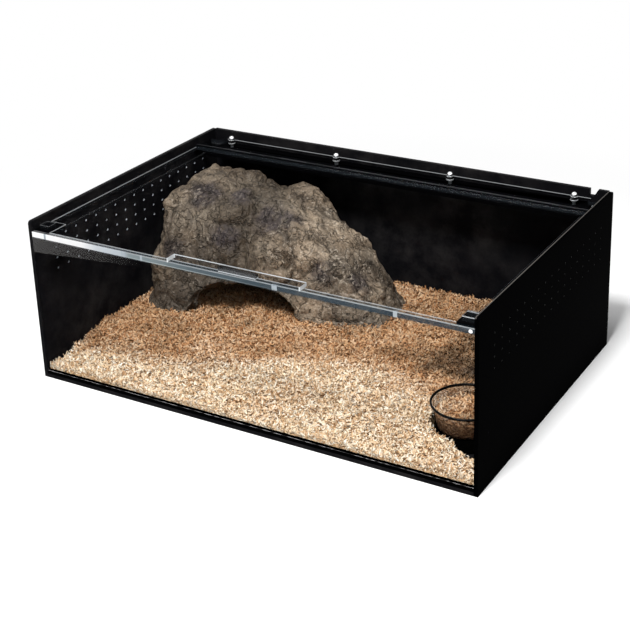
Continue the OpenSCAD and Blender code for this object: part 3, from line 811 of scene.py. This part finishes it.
# %% [markdown]
# ## Shavings along the walls
#
# Stray shavings lean against the walls, steeper and higher than the rest, and some are
# pressed against the pane from the base up, where they hide the bed's plain skirt.

# %% Push stray shavings against the walls
PRESS_DEPTH, PRESS_LEFT = 0.0006, 0.0012
rng = np.random.default_rng(91)
near = rng.exponential(0.0018, (4, EDGE_COUNT // 4))
x_run = rng.uniform(bed_low.x, bed_high.x, (2, EDGE_COUNT // 4))
y_run = rng.uniform(bed_low.y, bed_high.y, (2, EDGE_COUNT // 4))
edge_x = np.concatenate([bed_low.x + near[0], bed_high.x - near[1], x_run[0], x_run[1]])
edge_y = np.concatenate([y_run[0], y_run[1], bed_low.y + near[2], bed_high.y - near[3]])
patches.append(curl_shavings("shavings_along_walls", spots_on_bed(edge_x, edge_y), 92, tilt=0.9, lift=0.0045))
pane_x = rng.uniform(bed_low.x, bed_high.x, PANE_COUNT)
pressed = spots_on_bed(pane_x, bed_low.y + rng.exponential(PRESS_DEPTH, PANE_COUNT))
pressed[:, 2] -= rng.uniform(0.0, 1.0, len(pressed)) * (pressed[:, 2] - base_top - PRESS_LEFT)
patches.append(curl_shavings("shavings_at_pane", pressed, 94, tilt=0.6, lift=0.0010))


# %% [markdown]
# ## The colours of wood
#
# Fresh softwood is pale, and heartwood is orange-brown, so each shaving takes its place
# on a colour ramp from its own tone. Fine noise adds grain. A tint of painted shade darkens
# and warms the stretches towards the back and the right wall. The bed below has a cell
# pattern in deeper browns, painted shade for the bed seen in shadow under the shavings.

# %% Finish the shavings
def shade_tint(tree, base):
    """Painted shade: darkens and warms a wood colour where less light reaches the bedding."""
    shade_level = add(tree, "Attribute", {"attribute_name": "shade_level"})
    sway = rescale(tree, speckle(tree, place_on(tree), 22.0, 3.0), (0.3, 0.7), (-0.18, 0.18))
    share = times(tree, maths(tree, "ADD", shade_level.outputs["Fac"], sway), 0.85)
    tint = ramp(tree, share, [(0.0, grey(1.0)), (0.51, (0.69, 0.51, 0.37)), (0.85, (0.22, 0.155, 0.105)),
                              (1.0, (0.11, 0.08, 0.06))])
    return mix_colour(tree, 1.0, base, tint, "MULTIPLY")


def shavings_finish():
    finish, tree = start_finish("dry_shavings")
    tone = add(tree, "Attribute", {"attribute_name": "tone"})
    base = ramp(tree, tone.outputs["Fac"], [
        (0.0, (0.46, 0.25, 0.11)), (0.22, (0.80, 0.55, 0.32)), (0.6, (0.95, 0.78, 0.56)),
        (1.0, (0.99, 0.93, 0.80))])
    grain = speckle(tree, place_on(tree), 700.0, 2.0)
    veins = ramp(tree, grain, [(0.35, grey(0.78)), (0.65, grey(1.0))])
    base = shade_tint(tree, mix_colour(tree, 1.0, base, veins, "MULTIPLY"))
    close_finish(tree, add(tree, "BsdfPrincipled", Base_Color=base, Roughness=0.65, Specular_IOR_Level=0.3))
    return finish


def bed_finish():
    finish, tree = start_finish("packed_shavings")
    chips = add(tree, "TexVoronoi", Vector=place_on(tree), Scale=420.0)
    pick = add(tree, "SeparateColor", Color=chips.outputs["Color"])
    # The deeper browns of the bed are painted shade, for the gaps under the loose shavings.
    shadowed_browns = [(0.0, (0.22, 0.11, 0.045)), (0.5, (0.42, 0.25, 0.12)), (1.0, (0.62, 0.42, 0.23))]
    base = ramp(tree, pick.outputs[0], shadowed_browns)
    dent = add(tree, "Bump", Height=chips.outputs["Distance"], Distance=0.001, Strength=0.8).outputs[0]
    base = shade_tint(tree, base)
    close_finish(tree, add(tree, "BsdfPrincipled", Base_Color=base, Roughness=0.85, Normal=dent))
    return finish


loose_wood, packed_wood = shavings_finish(), bed_finish()
for patch in patches:
    patch.data.materials.append(loose_wood)
bed.data.materials.append(packed_wood)
print("wood finished on", len(patches), "patches and the bed")

# %% [markdown]
# ## The rock
#
# The hide is a cast shell made to look like weathered rock. It is thick at the foot, open
# at the front and craggy all over. The lesson first lays rings of points from the foot to
# the summit, then pushes them in at the clefts between its crags, and at last roughens
# every point with creased noises, as a sculptor goes from big lumps to small dents. A
# formula for the foot and one for the rise give the dome, and the arch cuts its front.

# %% The rock's smooth dome
SUMMIT = (ROCK_MID[0] - 0.120, ROCK_MID[1] + 0.032)
ROCK_TOP = rock_high.z
FALL = 0.12
FULLNESS, ROUNDNESS = (3.6, 3.0, 3.0, 2.8), (0.8, 0.7, 0.6, 0.75)
ARCH_X, ARCH_HALF, ARCH_HEIGHT = ROCK_MID[0] - 0.014, 0.077, 0.052


def rock_foot(a, inset=0.0):
    front = np.sin(a) < 0
    length = ROCK_HALF - inset

    def reach(depth):
        across, along = np.abs(np.cos(a)) / length, np.abs(np.sin(a)) / depth
        return (across**SQUARE + along**SQUARE) ** (-1 / SQUARE)

    guess = reach(rock_depth(np.cos(a), front) - inset)
    r = reach(rock_depth(guess * np.cos(a) / ROCK_HALF, front) - inset)
    return ROCK_MID[0] + r * np.cos(a), ROCK_MID[1] + r * np.sin(a)


def lower_edge(a):
    """Height of the shell's lower edge: the arch on the front, else the bedding."""
    off = (rock_foot(a)[0] - ARCH_X) / ARCH_HALF
    rise = ARCH_HEIGHT * np.sqrt(np.maximum(0, 1 - off**2))
    return ROCK_FOOT_Z + np.where((np.sin(a) < 0) & (np.abs(off) < 1), rise, 0)


def between_sides(a, values):
    """The value that holds at angle a, for values on the right, back, left and front."""
    return sum(v * np.maximum(0, np.cos(a - k * np.pi / 2)) ** 2 for k, v in enumerate(values))


def dome_points(f, a, inset):
    foot_x, foot_y = rock_foot(a, inset)
    low = lower_edge(a)
    x = SUMMIT[0] + (foot_x - SUMMIT[0]) * f
    y = SUMMIT[1] + (foot_y - SUMMIT[1]) * f
    top = ROCK_TOP - inset - FALL * np.maximum(0, x - SUMMIT[0])
    rise = (1 - f ** between_sides(a, FULLNESS)) ** between_sides(a, ROUNDNESS)
    return np.stack([x, y, low + (top - low) * rise], -1)


print("the cave's mouth is", 2 * ARCH_HALF, "m wide and", ARCH_HEIGHT, "m high")

# %% [markdown]
# ## Crags and clefts
#
# Crag tops are spread evenly over the dome by the golden angle, as seeds are in a
# sunflower. A point keeps its place near a crag top and sinks in between. This gives the
# same large crags as the measured model, so the finished rock fits it.

# %% Cleave the dome into crags
GOLDEN_ANGLE = 137.5
CRAGS, CRAG_RADIUS, CRAG_HEIGHT, CRAG_ROUNDNESS = 40, 0.040, 0.009, 1.5
SPINE_HALF, SPINE_Y, FOOT_FADE = 0.6 * ROCK_HALF, SUMMIT[1] - 0.0128, 0.015
order = np.arange(CRAGS)
crag_tops = dome_points(np.sqrt((order + 0.5) / CRAGS), np.radians(GOLDEN_ANGLE * order), 0)


def cleft_depth(points):
    """0 on a crag's top, -1 in a cleft far from every crag."""
    gap = np.linalg.norm(points[:, None] - crag_tops[None], axis=-1) / CRAG_RADIUS
    return (np.maximum(0, 1 - gap**2) ** CRAG_ROUNDNESS).max(1) - 1


def craggy(points, low):
    spine_x = ROCK_MID[0] + np.clip((points[:, 0] - ROCK_MID[0]) / ROCK_HALF, -1, 1) * SPINE_HALF
    way = points - np.stack([spine_x, np.full(len(points), SPINE_Y), low], -1)
    way /= np.linalg.norm(way, axis=1)[:, None]
    share = np.minimum(1, (points[:, 2] - low) / FOOT_FADE)
    return points + CRAG_HEIGHT * (cleft_depth(points) * share)[:, None] * way


print(CRAGS, "crags, the highest at", round(crag_tops[:, 2].max(), 4))

# %% [markdown]
# ## Knitting the shell
#
# The rings of points become one closed mesh: an outer skin, a plainer inner skin and a
# rim between them. Faces of the inner skin are turned round so that they point into the
# cave. The outer skin has many rings, because the roughening needs points to push.

# %% Knit the shell
OUTER_RINGS, INNER_RINGS, SIDES = 155, 24, 500
SHELL = 0.010


def rock_skin(rings, inset, with_crags):
    a = np.linspace(0, 2 * np.pi, SIDES, endpoint=False)
    rows = [dome_points(math.sin(math.pi / 2 * k / rings), a, inset) for k in range(rings, 0, -1)]
    if with_crags:
        rows = [craggy(row, lower_edge(a)) for row in rows]
    return rows + [np.array([[SUMMIT[0], SUMMIT[1], ROCK_TOP - inset]])]


def ring_quads(rings, sides):
    """Four-cornered faces between each ring of points and the next."""
    def corners(k, i):
        after = (i + 1) % sides
        return k * sides + i, k * sides + after, (k + 1) * sides + after, (k + 1) * sides + i

    return [corners(k, i) for k in range(rings - 1) for i in range(sides)]


def knit(start, rings, inside_out):
    """Faces that join rings of points, the last ring to one point at the summit."""
    quads = ring_quads(rings, SIDES)
    top = (rings - 1) * SIDES
    caps = [(top + i, top + (i + 1) % SIDES, rings * SIDES) for i in range(SIDES)]
    turned = [face[::-1] if inside_out else face for face in quads + caps]
    return [tuple(start + v for v in face) for face in turned]


outer = rock_skin(OUTER_RINGS, 0.0, True)
inner = rock_skin(INNER_RINGS, SHELL, False)
first_inner = OUTER_RINGS * SIDES + 1
rim = [((i + 1) % SIDES, i, first_inner + i, first_inner + (i + 1) % SIDES) for i in range(SIDES)]
rock = add_piece("cave_rock", np.concatenate(outer + inner),
                 knit(0, OUTER_RINGS, False) + knit(first_inner, INNER_RINGS, True) + rim)
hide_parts("rock_hide")
print("rock", len(rock.data.polygons), "faces")

# %% [markdown]
# ## Roughening
#
# Three creased noises push the points: boulders, lumps and grit. Each point is first
# moved sideways a little, so the creases bend. The depth of the lumps is kept on the
# mesh, and the painted shade in the creases uses it later. The noise has a fixed seed, so
# every run gives the same rock. A displacement texture would do the same, but its result
# can't be measured.

# %% Roughen the rock
BOULDER, BOULDER_SCALE, ROUGH, ROUGH_SCALE, GRIT, GRIT_SCALE = 0.026, 11.0, 0.0095, 30.0, 0.0010, 110.0
NOISE_SEED, WARP, WARP_SCALE = 12, 0.012, 30


def roughen(mesh):
    """Pushes each point along its normal by creased noises, and marks how deep it lies."""
    count = len(mesh.vertices)
    points, normals = np.zeros(count * 3), np.zeros(count * 3)
    mesh.vertices.foreach_get("co", points)
    mesh.vertex_normals.foreach_get("vector", normals)
    points, normals = points.reshape(-1, 3), normals.reshape(-1, 3)
    noise.seed_set(NOISE_SEED)
    warp = [Vector(p) + WARP * noise.noise_vector(Vector(p) * WARP_SCALE) for p in points]
    boulders = np.array([noise.turbulence(v * BOULDER_SCALE, 1, True) for v in warp])
    lumps = np.array([noise.turbulence(v * ROUGH_SCALE, 3, True) for v in warp])
    grit = np.array([noise.turbulence(v * GRIT_SCALE, 2, True) for v in warp])
    push = (BOULDER * (boulders - np.quantile(boulders, 0.6)) + ROUGH * (lumps - np.quantile(lumps, 0.7))
            + GRIT * (grit - grit.mean()))
    fade = 0.25 + 0.75 * smooth_step((points[:, 2] - ROCK_FOOT_Z) / FOOT_FADE)
    moved = points + normals * (push * fade)[:, None]
    moved[:, 2] = np.maximum(moved[:, 2], ROCK_FOOT_Z - 0.001)
    moved[:, 0] = np.maximum(moved[:, 0], rock_low.x - 0.002)
    mesh.vertices.foreach_set("co", moved.ravel())
    mesh.update()
    mark(mesh, "crease", np.clip((np.quantile(lumps, 0.5) - lumps) / 0.35, 0, 1))
    mark(mesh, "cleft", -cleft_depth(points))
    print("pushed by", round(push.min() * 1000, 1), "to", round(push.max() * 1000, 1), "mm")
    print("rock top", round(moved[:, 2].max(), 4))


roughen(rock.data)

# %% [markdown]
# ## The rock's colours
#
# Cast rock is painted in washes: a tan-grey ground, a few purple-brown stains, and a dry
# brush of pale paint on the high grains. Painted shade darkens the creases and clefts, and
# the ground's tone along the rock is partly the paint's own and partly painted light,
# brightest at the right end.
# The stains are listed one by one on the side that faces the pane, and noise frays their rims.

# %% Finish the rock
STAINS = ((-0.222, 0.062, 0.172, 0.024), (-0.172, 0.075, 0.168, 0.017), (-0.172, 0.027, 0.129, 0.020),
          (-0.121, 0.069, 0.147, 0.024), (-0.098, 0.078, 0.143, 0.017), (-0.039, 0.061, 0.091, 0.018),
          (0.006, 0.082, 0.080, 0.019), (-0.242, 0.010, 0.104, 0.016))


def stain_share(tree, place):
    """How strongly the listed stains, each a place and a radius, show."""
    sway = rescale(tree, speckle(tree, place, 60.0, 4.0, 0.7), (0.25, 0.75), (-0.9, 0.9))
    share = 0.0
    for x, y, z, radius in STAINS:
        gap = add(tree, "VectorMath", {"operation": "DISTANCE"}, _0=place, _1=(x, y, z)).outputs["Value"]
        share = maths(tree, "MAXIMUM", share, rescale(tree, gap, (1.5 * radius, 0)))
    frayed = maths(tree, "MULTIPLY_ADD", share, sway, share)
    return ramp(tree, frayed, [(0.12, grey(0)), (0.65, grey(0.92))])


def ground_stains_and_light(tree, place):
    """The tan-grey ground with its stains, and the tone along the rock, partly the paint's own and partly
    painted light: darker in the middle, brightest at the right end.
    """
    base = ramp(tree, speckle(tree, place, 18.0, 6.0, 0.65), [
        (0.32, (0.095, 0.066, 0.043)), (0.45, (0.185, 0.138, 0.095)), (0.60, (0.265, 0.207, 0.148)),
        (0.75, (0.215, 0.180, 0.144))])
    along = rescale(tree, axes(tree, place)[0], (rock_low.x, rock_high.x))
    # Partly painted light along the rock: brightest at the right end, where the lamp falls.
    tone_and_light_along = ramp(tree, along, [(0.0, grey(0.86)), (0.42, grey(0.28)), (0.70, grey(1.36)), (1.0, grey(1.10))])
    base = mix_colour(tree, 1.0, base, tone_and_light_along, "MULTIPLY")
    return mix_colour(tree, stain_share(tree, place), base, (0.036, 0.028, 0.028, 1)), tone_and_light_along


def painted_hollow_shade(tree, base):
    """Painted shade, dark in the creases and in the clefts, from the marks on the mesh."""
    crease = add(tree, "Attribute", {"attribute_name": "crease"})
    base = mix_colour(tree, times(tree, crease.outputs["Fac"], 0.85), base, (0.034, 0.026, 0.019, 1))
    cleft = add(tree, "Attribute", {"attribute_name": "cleft"})
    deep = ramp(tree, cleft.outputs["Fac"], [(0.45, grey(0)), (1.0, grey(0.6))])
    return mix_colour(tree, deep, base, (0.045, 0.036, 0.028, 1))


def rock_finish():
    finish, tree = start_finish("painted_cast_rock")
    place = place_on(tree)
    base, tone_and_light_along = ground_stains_and_light(tree, place)
    base = painted_hollow_shade(tree, base)
    bend = add(tree, "TexNoise", Vector=place, Scale=55.0, Detail=3.0)
    curve = add(tree, "MixRGB", {"blend_type": "LINEAR_LIGHT"}, _0=0.035, _1=place, _2=bend.outputs["Color"])
    cracks = add(tree, "TexVoronoi", {"feature": "DISTANCE_TO_EDGE"}, Vector=curve.outputs[0], Scale=36.0)
    crack = ramp(tree, cracks.outputs["Distance"], [(0.0, grey(0)), (0.07, grey(1))])
    shadow = ramp(tree, crack, [(0.0, grey(0.46)), (0.8, grey(1.0))])
    base = mix_colour(tree, 1.0, base, shadow, "MULTIPLY")
    grit = speckle(tree, place, 300.0, 5.0, 0.8)
    light = ramp(tree, grit, [(0.36, grey(0.62)), (0.5, grey(1.0)), (0.64, grey(1.5))])
    base = mix_colour(tree, 1.0, base, light, "MULTIPLY")
    dabs = speckle(tree, curve.outputs[0], 120.0, 4.0, 0.6)
    dab = ramp(tree, dabs, [(0.56, grey(0)), (0.68, grey(0.45))])
    base = mix_colour(tree, mix_colour(tree, 1.0, dab, tone_and_light_along, "MULTIPLY"), base, (0.52, 0.44, 0.35, 1))
    coarse = speckle(tree, place, 95.0, 4.0, 0.6)
    dent = add(tree, "Bump", Height=coarse, Distance=0.006, Strength=0.8).outputs[0]
    split = add(tree, "Bump", Height=crack, Distance=0.003, Strength=0.7, Normal=dent).outputs[0]
    close_finish(tree, add(tree, "BsdfPrincipled", Base_Color=base, Roughness=0.55,
                           Specular_IOR_Level=0.15, Normal=split))
    return finish


rock.data.materials.append(rock_finish())
print("rock painted with", len(STAINS), "stains")

# %% [markdown]
# ## The water bowl
#
# The bowl is a turned shape, so its outline is drawn once and spun round its middle. Its
# clear wall shows the shavings that have blown into it, its rolled rim is painted as a thin
# dark ring for the dark that the clear bead refracts, and its foot is painted black for the
# shade and the black base seen through it.

# %% Spin the bowl
BOWL_SIDES = 96
FOOT_R, RIM_R, BOWL_WALL, BEAD = 0.033, 0.042, 0.0020, 0.0013
DARK_FOOT_HEIGHT, FOOT_ROUND, AXIS_R = 0.019, 0.003, 0.0002


def spin(name, outline, middle):
    turns = [2 * math.pi * i / BOWL_SIDES for i in range(BOWL_SIDES)]
    points = [(middle.x + r * math.cos(t), middle.y + r * math.sin(t), z) for r, z in outline for t in turns]
    return add_piece(name, points, ring_quads(len(outline), BOWL_SIDES))


def bowl_outline():
    """From the middle of the foot up the outside, over the rolled rim and down the inside."""
    low, high = bowl_low.z, bowl_high.z
    roll_r, roll_z = RIM_R - BOWL_WALL / 2, high - BEAD
    slope = RIM_R - FOOT_R
    outside = [(AXIS_R, low), (FOOT_R - 0.003, low), (FOOT_R - 0.001, low + 0.0006),
               (FOOT_R, low + FOOT_ROUND)]
    climb = np.linspace(0.1, 0.96, 10)
    rise = [(FOOT_R + slope * t, low + FOOT_ROUND + (roll_z - 0.004 - low) * t) for t in climb]
    turns = np.linspace(-0.9, math.pi + 0.9, 16)
    roll = [(roll_r + BEAD * math.cos(t), roll_z + BEAD * math.sin(t)) for t in turns]
    back = [(r - BOWL_WALL, z) for r, z in reversed(rise)]
    floor_rim = [(FOOT_R - BOWL_WALL - 0.001, low + 0.0034), (FOOT_R - BOWL_WALL - 0.004, low + BOWL_WALL)]
    return outside + rise + roll + back + floor_rim + [(AXIS_R, low + BOWL_WALL)]


bowl = spin("clear_bowl", bowl_outline(), bowl_mid)
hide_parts("water_bowl")
print("bowl", len(bowl.data.polygons), "faces")

# %% [markdown]
# ## The bowl's wall
#
# Clear plastic in a thin wall hardly bends light, so the wall lets light straight
# through with a grey tint, instead of the slower glass shader. Height picks the foot and
# the rim, which are painted dark: the rim for the dark that its clear bead refracts, the
# foot for the shade and the black base seen through it.

# %% Finish the bowl
def bowl_finish():
    finish, tree = start_finish("clear_bowl_wall")
    height = axes(tree, place_on(tree))[2]
    # Painted dark: the rim for the dark its bead refracts, the foot for shade and the base below.
    rim = between(tree, height, bowl_high.z - 2.2 * BEAD, 1.0)
    foot = between(tree, height, -1.0, bowl_low.z + DARK_FOOT_HEIGHT)
    through = add(tree, "BsdfTransparent", Color=(0.76, 0.77, 0.80, 1))
    gloss = add(tree, "BsdfGlossy", Color=(1, 1, 1, 1), Roughness=0.05)
    wall = mix_shaders(tree, sheen(tree, 0.005, 0.10), through, gloss)
    black = add(tree, "BsdfPrincipled", Base_Color=(0.003, 0.003, 0.003, 1), Roughness=0.35, IOR=1.15)
    close_finish(tree, mix_shaders(tree, maths(tree, "MAXIMUM", rim, foot), wall, black))
    return finish


bowl.data.materials.append(bowl_finish())
print("bowl finished")

# %% [markdown]
# ## What has blown into the bowl
#
# The bowl is full of shavings up to a low mound. A plain body in the bed's colours fills
# it, because it shows through the wall, and loose shavings lie on top. They carry painted
# shade, darker towards the right wall.

# %% Fill the bowl with blown-in shavings
FILL_LOW, FILL_HIGH, FILL_MOUND = bowl_low.z + DARK_FOOT_HEIGHT + 0.001, bowl_low.z + 0.036, 0.003
FILL_COUNT, FILL_GAP, FILL_SHADE = 900, 0.0008, 0.45
MID_SHADE, SHADE_SWING = 0.60, 0.45


def inner_radius(z):
    share = np.clip((z - bowl_low.z) / (bowl_high.z - bowl_low.z), 0, 1)
    return FOOT_R + (RIM_R - FOOT_R) * share - BOWL_WALL - FILL_GAP


side = [(float(inner_radius(z)), float(z)) for z in np.linspace(FILL_LOW, FILL_HIGH, 6)]
top_r = side[-1][0]
mound = [(top_r * t, FILL_HIGH + FILL_MOUND * (1 - t**2)) for t in (0.9, 0.75, 0.5, 0.25, 0.01)]
fill = spin("bowl_fill", [(0.0003, FILL_LOW)] + side + mound, bowl_mid)
fill.data.materials.append(packed_wood)
mark(fill.data, "shade_level", np.full(len(fill.data.vertices), FILL_SHADE))
rng = np.random.default_rng(77)
away = (top_r - 0.003) * np.sqrt(rng.uniform(0, 1, FILL_COUNT))
turn = rng.uniform(0, 2 * np.pi, FILL_COUNT)
heights = FILL_HIGH + FILL_MOUND * (1 - (away / top_r) ** 2) + 0.0005
spots = np.stack([bowl_mid.x + away * np.cos(turn), bowl_mid.y + away * np.sin(turn), heights], -1)
blown_in = curl_shavings("bowl_shavings", spots, 78, tilt=0.6, lift=0.004)
shade_level = np.clip(MID_SHADE + SHADE_SWING * (spots[:, 0] - bowl_mid.x) / RIM_R, 0, 1)
each_point = np.repeat(shade_level, 2 * (STEPS + 1)).astype(np.float32)
blown_in.data.attributes["shade_level"].data.foreach_set("value", each_point)
blown_in.data.materials.append(loose_wood)
